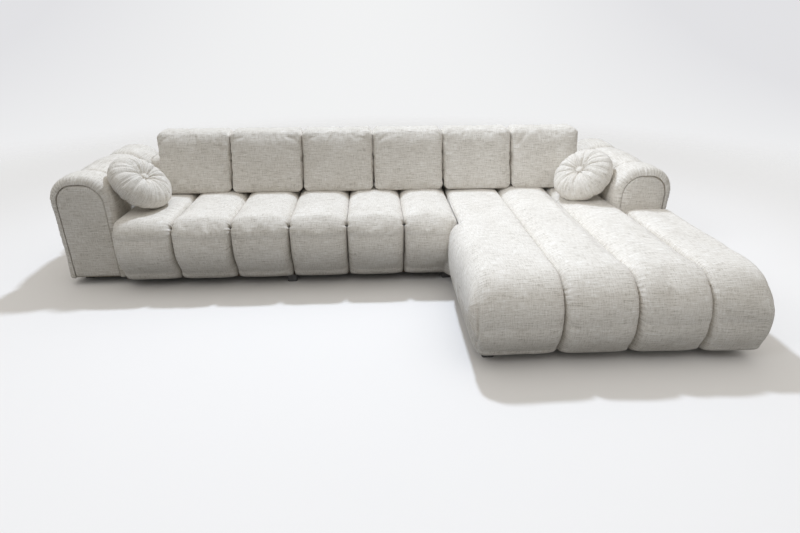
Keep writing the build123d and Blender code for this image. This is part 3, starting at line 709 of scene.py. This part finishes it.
for number in range(1, 5):
    left = chaise_seams[number - 1] + seam_gap
    right = chaise_seams[number] - (seam_gap if number < 4 else 0)
    profile = chaise_profiles[number - 1]
    places, seam_shares, rows = [], [], []
    if number in (2, 3):
        for share in seam_to_seam(chaise_rows):
            x = left + share * (right - left)
            back = channel_back
            if x > beside_arm:
                back = arm_face + arm_corner_cut * rounded(x - beside_arm, arm_corner_reach)
            loop = channel_loop(swell_of(share), profile, back, chaise_rail, chaise_counts)
            places.append(x)
            seam_shares.append(share)
            rows.append(np.column_stack([np.full(len(loop), x), loop]))
    elif number == 1:
        turns = np.linspace(turn_start, pi / 2, 44)
        side_in = side_edge + side_reach
        places = list(side_edge + side_reach * (1 - np.abs(np.cos(turns)) ** turn_power))
        places += list(side_in + (right - side_in) * np.sin(np.linspace(0, pi / 2, 34))[1:])
        for x in places:
            edge = side_roll(x - side_edge, **side_sizes)
            share = max(0.5, 0.5 + 0.5 * (x - crown_from) / (right - crown_from))
            clear = x < left
            back, rail = (seat_clear, seat_clear) if clear else (channel_back, chaise_rail)
            loop = channel_loop(swell_of(share), profile, back, rail, chaise_counts, **edge)
            row = np.column_stack([np.full(len(loop), x), loop])
            if clear:
                raised = np.clip((row[:, 2] - rear_sink_low) / rear_sink_tall, 0, 1)
                row[:, 2] -= rear_sink * raised * ease(row[:, 1], *rear_sink_run)
                from_seam = (left - x) / (left - side_edge)
                row[:, 0] += rear_close * from_seam * ease(row[:, 1], *rear_close_run)
            else:
                full = swell_of((x - left) / (right - left))
                sewn = channel_loop(full, profile, back, rail, chaise_counts)
                rear = ease(loop[:, :1], *rear_sewn_run)
                row[:, 1:] = loop * (1 - rear) + sewn * rear
            seam_shares.append(share)
            rows.append(row)
    else:
        turns = np.linspace(pi / 2, turn_start, 30)
        outer = right + outer_proud
        outer_in = outer - outer_reach
        places = list(left + (outer_in - left) * (1 - np.cos(np.linspace(0, pi / 2, 30)))[:-1])
        places += list(outer - outer_reach * (1 - np.abs(np.cos(turns)) ** turn_power))
        for x in places:
            edge = side_roll(outer - x, **outer_sizes)
            share = min(0.5, 0.5 * (x - left) / outer_full)
            rail = arm_face - least_step if x > base_right else chaise_rail
            loop = channel_loop(swell_of(share), profile, arm_face, rail, chaise_counts, **edge)
            top_run = loop[: sum(chaise_counts[:2])]
            top_run[:, 1] -= arm_meet_drop * rounded(arm_face - top_run[:, 0], arm_meet_reach)
            seam_shares.append(share)
            rows.append(np.column_stack([np.full(len(loop), x), loop]))
    loops = np.array(rows)
    places, seam_shares = np.array(places), np.array(seam_shares)
    around = girth_of(loops[int(np.abs(seam_shares - 0.55).argmin())])
    along = around[:-1]
    front_spot = sum(chaise_counts[:2]) + chaise_counts[2] // 2
    steps = np.linalg.norm(np.diff(loops[:, front_spot], axis=0), axis=1)
    across = np.concatenate([[0], np.cumsum(steps)]) + chaise_weave_step * number
    bend_at = around[front_spot]
    relief = puckers(40 + number, seam_shares, chaise_width, along, bend_at, **chaise_puckers)
    unevenness = ripple(60 + number, across[:, None], along[None, :], 0.22)
    relief = relief + np.sin(pi * np.clip(seam_shares, 0, 1))[:, None] * chaise_ripple * unevenness
    if number == 1:
        below = ease(along - bend_at, 0.02, 0.05)
        below = below * ease(around[sum(chaise_counts) + 2] - along, 0, 0.06)
        lip = dart_lip * hump(places, dart_lip_at, dart_lip_width)
        fold = hump(places, dart_at, dart_width) - lip
        relief = relief - dart_depth * fold[:, None] * below[None, :]
        tip = hump(places, dart_at, dart_tip_width)[:, None] * hump(along, bend_at + 0.03, 0.05)[None, :]
        relief = relief + dart_gather * tip * gathers(77, along, 0.016)[None, :]
    shown = np.zeros(loops.shape[1])
    shown[: sum(chaise_counts) + heel_shown] = 1
    loops = loops + outward(loops) * (relief * shown)[:, :, None]
    if number in (2, 3):
        loops[:, :, 0] = np.clip(loops[:, :, 0], left, right)
    node = f"chaise_channel_{number}"
    pad = sew(f"chaise_channel_pad_{number}", loops, across, around, cover, "chaise_section", [node])
    held = np.ones(loops.shape[:2])
    first_free = sewn_rows if number > 1 else 0
    last_free = -sewn_rows if number < 4 else None
    held[first_free:last_free, stapled_points : sum(chaise_counts) + heel_free] = 0
    if number == 1:
        held[np.abs(places - left) < seam_held] = 1
        held[(places < left)[:, None] & (loops[:, :, 1] > rear_held)] = 1
    between = (0, left if number > 1 else side_limit, right if number < 4 else outer_limit)
    stuff(pad, held, cap=0.009, between=between, **channel_filling)

# Arms: three pads sewn side by side over an arched box. At the front and the back the cover
# is gathered into a rounded border and sewn round a flat arched panel.
arm_seams = (0.045, 0.250, 0.690, 0.935)
arm_middle = 1.570
arm_half = 0.168
arm_top = 0.635
arm_shoulder = 0.150
arm_draw = 0.040
arm_wall = 0.040
arm_gap = 0.0003
arm_counts = (52, 44, 8)
lining_counts = (6, 8, 2)
arm_puckers = {"bend_width": 0.20, "strong": 0.0030, "weak": 0.0010, "reach": 0.020}
arm_ripple = 0.0022
seat_side_depth = 0.03
seat_side_height = 0.43
border = 0.040
border_spacing = 0.0100
border_fold = 0.0006
border_crest_fold = 0.0022
panel_gap = 0.0005
panel_counts = (40, 40, 6)
panel_heart = np.array((0.0, 0.33))
panel_edge = ((0.97, 0.020), (0.99, 0.019), (0.99, 0.016))
panel_puff = 0.010
panel_groove = 0.012
panel_inset = 0.003
panel_ripple = 0.0010


def arm_path(draw, count_side, count_bend, count_top):
    """Arched outline of an arm, drawn in all round: up one side, over the top and down the other."""
    half, top, bend = arm_half - draw, arm_top - draw, arm_shoulder - draw
    rise = np.arange(count_side)[:, None] / count_side
    turn = np.arange(count_bend)[:, None] / count_bend * pi / 2
    parts = [
        np.hstack([-half + 0 * rise, foot_height + (top - bend - foot_height) * rise]),
        np.hstack([-half + bend - bend * np.cos(turn), top - bend + bend * np.sin(turn)]),
        line(np.array((-half + bend, top)), (half - bend, top), count_top),
        np.hstack([half - bend + bend * np.sin(turn), top - bend + bend * np.cos(turn)]),
        np.hstack([half + 0 * rise, top - bend + (foot_height - top + bend) * rise]),
        np.array([[half, foot_height]]),
    ]
    return np.concatenate(parts)


for side, name, body in ((-1, "left", "left_section"), (1, "right", "chaise_section")):
    for order, part in enumerate(("front", "middle", "rear")):
        first, last = arm_seams[order], arm_seams[order + 1]
        places = first + seam_to_seam(60 if part == "middle" else 44) * (last - first)
        shares = (places - first) / (last - first)
        off = np.abs(2 * shares - 1)
        draws = arm_draw * (1 - 0.3 * (1 - off**10) ** 0.5 - 0.7 * (1 - off**2.2) ** 0.5)
        if part != "middle":
            gap = np.abs(places - (first if part == "front" else last))
            draws[gap < (last - first) / 2] = 0
            rolled = gap < border
            draws[rolled] = border - np.sqrt(np.maximum(border**2 - (border - gap[rolled]) ** 2, 0))
        rows = []
        for y, draw in zip(places, draws):
            outside = arm_path(draw, *arm_counts)
            inside = arm_path(max(arm_wall, draw + 0.0005), *lining_counts)[::-1]
            loop = np.concatenate([outside, inside])
            rows.append(np.column_stack([side * arm_middle + loop[:, 0], np.full(len(loop), y), loop[:, 1]]))
        loops = np.array(rows)
        around = girth_of(loops[len(loops) // 2])
        along = around[:-1]
        count = len(outside)
        shown = np.zeros(loops.shape[1])
        shown[1 : count - 1] = 1
        crest = around[sum(arm_counts[:2]) + arm_counts[2] // 2]
        seed = 80 + order + 10 * side
        relief = puckers(seed, shares, last - first, along, crest, **arm_puckers)
        if part != "middle":
            near = hump(gap, 0.010, 0.024)[:, None]
            over_top = hump(along, crest, 0.30, 4)[None, :]
            folds = gathers(90 + order + side, along, border_spacing)[None, :]
            relief = relief * (1 - near) + near * (border_fold + border_crest_fold * over_top) * folds
        unevenness = ripple(100 + order + 5 * side, places[:, None], along[None, :], 0.17)
        relief = relief + np.sin(pi * shares)[:, None] * arm_ripple * unevenness
        loops = loops + outward(loops) * (relief * shown)[:, :, None]
        loops[:, :, 1] = np.clip(loops[:, :, 1], first + arm_gap, last - arm_gap)
        node = f"{name}_arm_channel_{part}"
        pad = sew(f"{name}_arm_pad_{part}", loops, places, around, cover, body, [node])
        held = np.ones(loops.shape[:2])
        held[sewn_rows:-sewn_rows, 1 : count - 1] = 0
        beside_seat = loops[:, :, 0] * side < arm_middle - arm_half + seat_side_depth
        held[beside_seat & (loops[:, :, 2] < seat_side_height)] = 1
        stuff(pad, held, cap=0.006, between=(1, first + arm_gap, last - arm_gap), **channel_filling)

    outline = arm_path(border, *panel_counts)
    foot_run = line(np.array((arm_half - border, foot_height)), (-arm_half + border, foot_height), 24)[1:]
    outline = np.concatenate([outline, foot_run])
    panel_ends = (("front", arm_seams[0] + panel_gap, -1), ("rear", arm_seams[-1] - panel_gap, 1))
    for order, (end, face_y, out) in enumerate(panel_ends):
        levels = [(share, -depth) for share, depth in panel_edge]
        for share in np.cos(np.linspace(0.12, pi / 2, 34))[:-1]:
            puff = panel_puff * (1 - share**5) - panel_groove * hump(1 - share, 0, 0.03)
            levels.append((share, puff - panel_inset))
        rings = []
        for share, level in levels:
            ring = panel_heart + (outline - panel_heart) * share
            rings.append(np.column_stack([ring, np.full(len(outline), level)]))
        shape = np.array(rings)
        puffed = shape[len(panel_edge) :]
        puffed[:, :, 2] += panel_ripple * ripple(120 + order + side, puffed[:, :, 0], puffed[:, :, 1], 0.12)
        panel_y = face_y + out * shape[:, :, 2]
        loops = np.stack([side * arm_middle + shape[:, :, 0], panel_y, shape[:, :, 1]], axis=-1)
        ring_runs = np.arange(len(outline) + 1)
        node = f"{name}_arm_end_panels"
        panel = sew(f"{name}_arm_panel_{end}", loops, np.arange(len(rings)), ring_runs, cover, body, [node])
        corners = np.empty(len(panel.data.loops), dtype=np.int64)
        panel.data.loops.foreach_get("vertex_index", corners)
        flat = loops.reshape(-1, 3)[corners][:, [0, 2]]
        panel.data.uv_layers["weave"].data.foreach_set("uv", flat.astype(np.float32).ravel())

# Backrests: a sloped foam pad over the uprights of each section, a padded outer back behind it, and a flap
# that closes the end beside the arm. They wear the same cover, pulled tight and stapled under the base,
# so they are nearly flat.
backrest_pads = (("backrest_pad", "back_pad", 0.012), ("outer_back_pad", "outer_back", 0.009))
stapled_height = 0.02
flap_edge = np.array([(0.640, 0.440), (0.903, 0.440), (0.903, 0.592), (0.700, 0.592)])
flap_sides = (1.4004, 1.4022)
flap_runs = np.array((0, 0.002))
plain, start = new_finish("woven_cover_back")
place = start.node("ShaderNodeTexCoord", output="Object")


def back_yarn(x, y, z, detail=2.0):
    stretched = start.node("ShaderNodeMapping", None, {"Vector": place, "Scale": (x, y, z)})
    return mottle(start, stretched, 1.0, detail)


weave_chenille(
    start,
    long_slub=back_yarn(14.0, 190.0, 190.0, 3.0),
    slub=back_yarn(36.0, 310.0, 310.0, 3.0),
    warp=back_yarn(230.0, 24.0, 24.0, 3.0),
    pile=back_yarn(6.0, 6.0, 5.0, 4.0),
    fleck=back_yarn(170.0, 170.0, 260.0),
)
for section, side in (("left", -1), ("chaise", 1)):
    body = f"{section}_section"
    for name, node, voxel in backrest_pads:
        pad = soft_copy(f"{section}_{name}", f"{section}_{node}", voxel, plain, body)
        spots = np.array([vert.co for vert in pad.data.vertices])
        held = (spots[:, 2] < spots[:, 2].min() + stapled_height) * 1.0
        stuff(pad, held, pressure=2.0, spare=0.0, cap=0.005)
    loops = np.array([[(side * x, y, z) for y, z in flap_edge] for x in flap_sides])
    name, node = f"{section}_backrest_end", f"{section}_back_pad"
    flap = sew(name, loops, flap_runs, girth_of(flap_edge), plain, body, [node])
    flat_faced(flap)

# Back cushions: six loose boxed cushions filled with fibre, leaning on the backrest.
# Two square panels are joined by a boxing strip, and the seams pull in a little between the corners.
cushion_split = 0.472
left_pitch = 0.442
chaise_pitch = 0.434
cushion_gap = 0.004
cushion_tall = 0.360
cushion_thick = 0.176
cushion_low = 0.4148
cushion_rear = 0.6116
lean = tan(radians(18))
cushion_round = 0.030
cushion_corner = 0.034
cushion_draw = 0.005
cushion_crown = 0.006
cushion_lump = 0.0020
cushion_limit = 0.0003
cushion_cells = [np.linspace(-1, 1, count) for count in (62, 50, 22)]
panel_planes = ((2, 1), (0, 2), (0, 1))


def boxed(name, number, x, width):
    """One cushion: a rounded box in its own leaning plane; gives the piece and where it is held."""
    half = np.array((width / 2, cushion_tall / 2, cushion_thick / 2))
    points, faces, flat, held = [], [], [], []
    for axis in range(3):
        first, second = [spot for spot in range(3) if spot != axis]
        for end in (-1, 1):
            a, b = np.meshgrid(cushion_cells[first], cushion_cells[second], indexing="ij")
            place = np.zeros(a.shape + (3,))
            place[..., axis], place[..., first], place[..., second] = end, a, b
            spot = place * half
            core = np.clip(spot, -(half - cushion_round), half - cushion_round)
            away = spot - core
            away = away / np.maximum(np.linalg.norm(away, axis=-1, keepdims=True), 1e-9)
            spot = core + away * cushion_round
            reach = spot[..., :2].copy()
            beyond = np.clip((np.abs(reach) - half[:2] + cushion_corner) / cushion_corner, 0, 1)
            cut = cushion_corner * beyond * (1 - np.sqrt(1 - beyond[..., ::-1] ** 2 / 2))
            spot[..., :2] -= np.sign(reach) * cut
            share_x, share_y, share_z = np.moveaxis(spot / half, -1, 0)
            full = np.clip(1 - share_x**2, 0, 1) * np.clip(1 - share_y**2, 0, 1)
            spot[..., 0] -= np.sign(share_x) * np.abs(share_x) ** 3 * cushion_draw * (1 - share_y**2)
            spot[..., 1] -= np.clip(share_y, 0, 1) ** 3 * cushion_draw * (1 - share_x**2)
            spot[..., 2] += np.where(share_z > 0, cushion_crown, 0) * full**0.7 * np.abs(share_z) ** 3
            lump = ripple(150 + number, spot[..., 0] + 2 * spot[..., 2], spot[..., 1], 0.13)
            spot[..., 2] += cushion_lump * lump * np.abs(share_z)
            at_edge = np.maximum(np.abs(place[..., 0]), np.abs(place[..., 1])) == 1
            sewn = (np.abs(place[..., 2]) == 1) & at_edge
            rests = (place[..., 2] == -1) | (place[..., 1] == -1)
            held.append(np.where(sewn | rests, 1.0, 0.0).ravel())
            offset = sum(len(block) for block in points)
            spots = offset + np.arange(a.size).reshape(a.shape)
            quads = np.stack([spots[:-1, :-1], spots[1:, :-1], spots[1:, 1:], spots[:-1, 1:]], -1)
            quads = quads.reshape(-1, 4)
            if np.cross(np.eye(3)[first], np.eye(3)[second])[axis] * end < 0:
                quads = quads[:, ::-1]
            faces.append(quads)
            points.append(spot.reshape(-1, 3))
            flat.append(points[-1][:, panel_planes[axis]] + np.array((0.5 * number + 0.3 * axis, 0.2 * end)))
    points, faces, flat, held = [np.concatenate(blocks) for blocks in (points, faces, flat, held)]
    world = np.column_stack(
        [
            x + points[:, 0],
            cushion_rear - cushion_thick / 2 - points[:, 2] + (points[:, 1] + cushion_tall / 2) * lean,
            cushion_low + cushion_tall / 2 + points[:, 1],
        ]
    )
    _, kept, same = np.unique(np.round(world, 6), axis=0, return_index=True, return_inverse=True)
    runs = flat[faces.ravel()]
    body = f"back_cushion_{number}"
    piece = new_piece(name, world[kept], same.ravel()[faces], runs, cover, body, [body])
    return piece, held[kept]


for number in range(1, 7):
    cushion_pitch = left_pitch if number < 5 else chaise_pitch
    x = cushion_split + (number - 4.5) * cushion_pitch
    cushion, held = boxed(f"back_cushion_pad_{number}", number, x, cushion_pitch - cushion_gap)
    between = (0, x - cushion_pitch / 2 + cushion_limit, x + cushion_pitch / 2 - cushion_limit)
    stuff(cushion, held, pressure=4.0, spare=0.03, cap=0.011, between=between)

# Round pillows: two loose pillows of pleated cover over fibre. Ten pleats on each face
# are drawn in to a covered button that is tied through to the one on the other face.
pillow_radius = 0.174
pillow_crown = 0.078
pillow_crown_radius = 0.088
pillow_seat = 0.046
pillow_eye = 0.006
pillow_tie = 0.020
pillow_ripple = 0.0015
pillow_spots = 220
pillow_pleats = 10
pleat_depth = 0.017
pleat_power = 0.36
pleat_full = 0.030
mid_crease = 0.35
button_radius = 0.021
button_rise = 0.014
button_above = 0.003
button_rim = (button_radius * 0.9, -0.004)
button_spots = 48
button_round = 0.13
pillow_facings = (("left", (0.66, -0.13, 0.74), 0.15, 7), ("right", (-0.60, -0.335, 0.727), 0.0, 11))
for name, facing, turned, seed in pillow_facings:
    low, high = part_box(f"round_pillow_{name}")
    middle = np.array((low + high) / 2)
    facing = Vector(facing).normalized()
    sideways = Vector((0, 0, 1)).cross(facing).normalized()
    upward = facing.cross(sideways)
    draw = np.random.default_rng(seed)
    pleats = np.arange(pillow_pleats) * 2 * pi / pillow_pleats
    pleats = pleats + draw.uniform(-0.10, 0.10, pillow_pleats) + turned
    angles = np.linspace(0, 2 * pi, pillow_spots, endpoint=False)
    nearest = np.min(np.abs((angles[:, None] - pleats[None, :] + pi) % (2 * pi) - pi), axis=1)
    lobe = np.sin(np.clip(nearest / (pi / pillow_pleats), 0, 1) * pi / 2) ** pleat_power
    halfway = np.abs(nearest - pi / pillow_pleats)
    lobe = lobe - mid_crease * hump(halfway, 0, 0.05)
    profile = []
    for turn in np.linspace(0, 1, 16):
        radius = pillow_eye + (pillow_crown_radius - pillow_eye) * turn
        profile.append((radius, pillow_seat + (pillow_crown - pillow_seat) * np.sin(turn * pi / 2) ** 1.3))
    for turn in np.linspace(0, pi / 2, 26)[1:]:
        radius = pillow_crown_radius + (pillow_radius - pillow_crown_radius) * sin(turn)
        profile.append((radius, pillow_crown * cos(turn)))
    outline = profile + [(radius, -height) for radius, height in profile[-2::-1]]
    rows, held = [], []
    for radius, height in outline:
        share = radius / pillow_radius
        sunk = pleat_depth * min(radius / pleat_full, 1) * (1 - 0.7 * share**3) * (1 - lobe)
        level = height - np.sign(height) * sunk * (1 - share**4)
        width = radius - sunk * share**2 * 0.8
        rows.append(np.stack([width * np.cos(angles), width * np.sin(angles), level], -1))
        tied = 1.0 if radius < pillow_tie else 0.0
        held.append(np.where(nearest < 0.03, 0.9 * (1 - share**6), tied))
    shape = np.array(rows)
    shape[..., 2] += pillow_ripple * ripple(170, shape[..., 0], shape[..., 1], 0.09)
    turned_frame = np.array([sideways, upward, facing])
    steps = np.linalg.norm(np.diff(np.array(outline), axis=0), axis=1)
    length = np.concatenate([[0], np.cumsum(steps)])
    body = f"round_pillow_{name}"
    loops = shape @ turned_frame + middle
    around = np.linspace(0, 1.0, pillow_spots + 1)
    pillow = sew(f"round_pillow_pad_{name}", loops, length, around, cover, body, [body])
    stuff(pillow, np.array(held), pressure=4.0, spare=0.03, cap=0.006)
    for order, end in enumerate((1, -1), 1):
        rings = [button_rim]
        for turn in np.linspace(0, pi / 2, 14)[:-1]:
            rings.append((button_radius * cos(turn) ** 0.7, button_rise * sin(turn)))
        spin = np.linspace(0, 2 * pi, button_spots, endpoint=False)
        seat = pillow_seat + button_above
        dome = [[(r * cos(a), r * sin(a), end * (seat + h)) for a in spin] for r, h in rings]
        dome = np.array(dome) @ turned_frame + middle
        runs = np.arange(len(rings)) * 0.003
        around = np.linspace(0, button_round, button_spots + 1)
        title, node = f"{name}_pillow_button_{order}", f"{name}_pillow_buttons"
        button = sew(title, dome, runs, around, cover, body, [node])

# Filling: wadding and fibre press every cover outwards together. Blender's cloth runs for twenty frames,
# each point keeps within its cap, and the result becomes the mesh.
filling_frames = 20
for step in range(1, filling_frames + 1):
    bpy.context.scene.frame_set(step)
graph = bpy.context.evaluated_depsgraph_get()
for piece, cap, between in waiting_covers:
    before = np.empty(len(piece.data.vertices) * 3)
    after = before.copy()
    piece.data.vertices.foreach_get("co", before)
    piece.evaluated_get(graph).data.vertices.foreach_get("co", after)
    before, after = before.reshape(-1, 3), after.reshape(-1, 3)
    move = np.nan_to_num(after - before)
    length = np.linalg.norm(move, axis=1, keepdims=True)
    filled = before + move * cap * np.tanh(length / cap) / np.maximum(length, 1e-9)
    if between:
        axis, low, high = between
        filled[:, axis] = np.clip(filled[:, axis], low, high)
    piece.data.vertices.foreach_set("co", filled.ravel())
bpy.context.scene.frame_set(1)
for piece, _, _ in waiting_covers:
    piece.modifiers.clear()
    piece.vertex_groups.clear()
    piece.data.update()


# Floor and backdrop: a plain pale studio floor, painted matt, that fades into a white surround.
# The light that it throws back up on to the sofa is kept low.
def blend_colours(start, share, first, second):
    return start.node("ShaderNodeMix", {"data_type": "RGBA"}, {0: share, 6: (*first, 1), 7: (*second, 1)}, 2)


floor_half = 8
fade_from = 3.0
fade_to = 6.5
floor_seen = (0.825, 0.80, 0.772)
floor_bounce = (0.36, 0.355, 0.345)
ground, start = new_finish("studio_floor")
place = start.node("ShaderNodeTexCoord", output="Object")
distance = start.node("ShaderNodeVectorMath", {"operation": "LENGTH"}, {0: place}, "Value")
fade_range = {"Value": distance, "From Min": fade_from, "From Max": fade_to}
fade = start.node("ShaderNodeMapRange", {"interpolation_type": "SMOOTHSTEP"}, fade_range)
seen = start.node("ShaderNodeLightPath", output="Is Camera Ray")
colour = blend_colours(start, seen, floor_bounce, floor_seen)
paint = start.node("ShaderNodeBsdfDiffuse", None, {"Color": colour})
clear = start.node("ShaderNodeBsdfTransparent")
surface = start.node("ShaderNodeMixShader", None, {0: fade, 1: paint, 2: clear})
start.node("ShaderNodeOutputMaterial", None, {"Surface": surface})
floor_corners = [(-floor_half, -floor_half, 0), (floor_half, -floor_half, 0)]
floor_corners += [(floor_half, floor_half, 0), (-floor_half, floor_half, 0)]
mesh = bpy.data.meshes.new("floor")
mesh.from_pydata(floor_corners, [], [(0, 1, 2, 3)])
mesh.materials.append(ground)
floor = bpy.data.objects.new("floor", mesh)
bpy.context.scene.collection.objects.link(floor)


# Light: a studio ceiling that is bright overhead and dim near the floor, one soft lamp high behind
# the sofa, as the shadows in front of it show, and a weak panel at the left that fills the right arm.
def larger(start, first, second):
    return start.node("ShaderNodeMath", {"operation": "MAXIMUM"}, {0: first, 1: second})


def hang(name, lamp, place, target):
    """Puts a lamp at its place, facing its target."""
    hung = bpy.data.objects.new(name, lamp)
    hung.location = place
    hung.rotation_euler = (Vector(target) - hung.location).to_track_quat("-Z", "Y").to_euler()
    bpy.context.scene.collection.objects.link(hung)


backdrop_middle = (0.885, 0.89, 0.895)
backdrop_side = (0.76, 0.76, 0.78)
ceiling_colour = (1.0, 0.99, 0.968, 1)
surround = bpy.data.worlds.new("surround")
bpy.context.scene.world = surround
surround.use_nodes = True
surround.node_tree.nodes.clear()
start = Strand(surround.node_tree)
heading = start.node("ShaderNodeTexCoord", output="Generated")
sideways = start.node("ShaderNodeSeparateXYZ", None, {0: heading}, "X")
overhead = start.node("ShaderNodeSeparateXYZ", None, {0: heading}, "Z")
seen = start.node("ShaderNodeLightPath", output="Is Camera Ray")
shiny = start.node("ShaderNodeLightPath", output="Is Glossy Ray")
through = start.node("ShaderNodeLightPath", output="Is Transmission Ray")
darkening = sideways * sideways * (4.37 + 21.0 * overhead)
white = blend_colours(start, darkening, backdrop_middle, backdrop_side)
backdrop = start.node("ShaderNodeBackground", None, {"Color": white, "Strength": 1.0})
rise_range = {"Value": overhead, "From Max": 0.4}
rise = start.node("ShaderNodeMapRange", {"interpolation_type": "SMOOTHSTEP"}, rise_range)
brightness = rise * (0.14 + 0.88 * larger(start, overhead, 0.0))
ceiling = start.node("ShaderNodeBackground", None, {"Color": ceiling_colour, "Strength": brightness})
shows_backdrop = larger(start, seen, larger(start, shiny, through))
surface = start.node("ShaderNodeMixShader", None, {0: shows_backdrop, 1: ceiling, 2: backdrop})
start.node("ShaderNodeOutputWorld", None, {"Surface": surface})

lamp = bpy.data.lights.new("top_lamp", "AREA")
lamp.shape = "DISK"
lamp.size = 0.3
lamp.energy = 1.0
lamp.use_nodes = True
lamp.node_tree.nodes.clear()
start = Strand(lamp.node_tree)
even = start.node("ShaderNodeLightFalloff", None, {"Strength": 5.8}, "Constant")
beam = start.node("ShaderNodeEmission", None, {"Color": (0.885, 0.998, 1.18, 1), "Strength": even})
start.node("ShaderNodeOutputLight", None, {"Surface": beam})
hang("top_lamp", lamp, (0.0, 1.6, 3.5), (0, -0.3, 0))
side_light = bpy.data.lights.new("side_panel", "AREA")
side_light.shape = "RECTANGLE"
side_light.size = 1.2
side_light.size_y = 0.8
side_light.spread = radians(45)
side_light.energy = 2.6
side_light.color = (0.95, 1.0, 1.08)
hang("side_panel", side_light, (-1.3, -1.9, 2.4), (1.65, 0.3, 0.5))

# Camera: at the photograph's viewing angle, in front of the sofa and above its back.
# Its place and turns were solved from the straight seams of the seat.
camera_place = (0.0145, -2.8597, 1.3855)
pitch = radians(24.33)
heading = radians(3.10)
tilt = radians(-0.105)
lens = bpy.data.cameras.new("camera")
lens.sensor_width = 36
lens.lens = 24.3
camera = bpy.data.objects.new("camera", lens)
ahead = Vector((sin(heading) * cos(pitch), cos(heading) * cos(pitch), -sin(pitch)))
level = Vector((cos(heading), -sin(heading), 0))
over = level.cross(ahead)
camera_right = level * cos(tilt) + over * sin(tilt)
camera_up = over * cos(tilt) - level * sin(tilt)
camera.matrix_world = Matrix((camera_right, camera_up, -ahead)).transposed().to_4x4()
camera.location = camera_place
bpy.context.scene.collection.objects.link(camera)
bpy.context.scene.camera = camera
bpy.context.scene.view_settings.view_transform = "Standard"
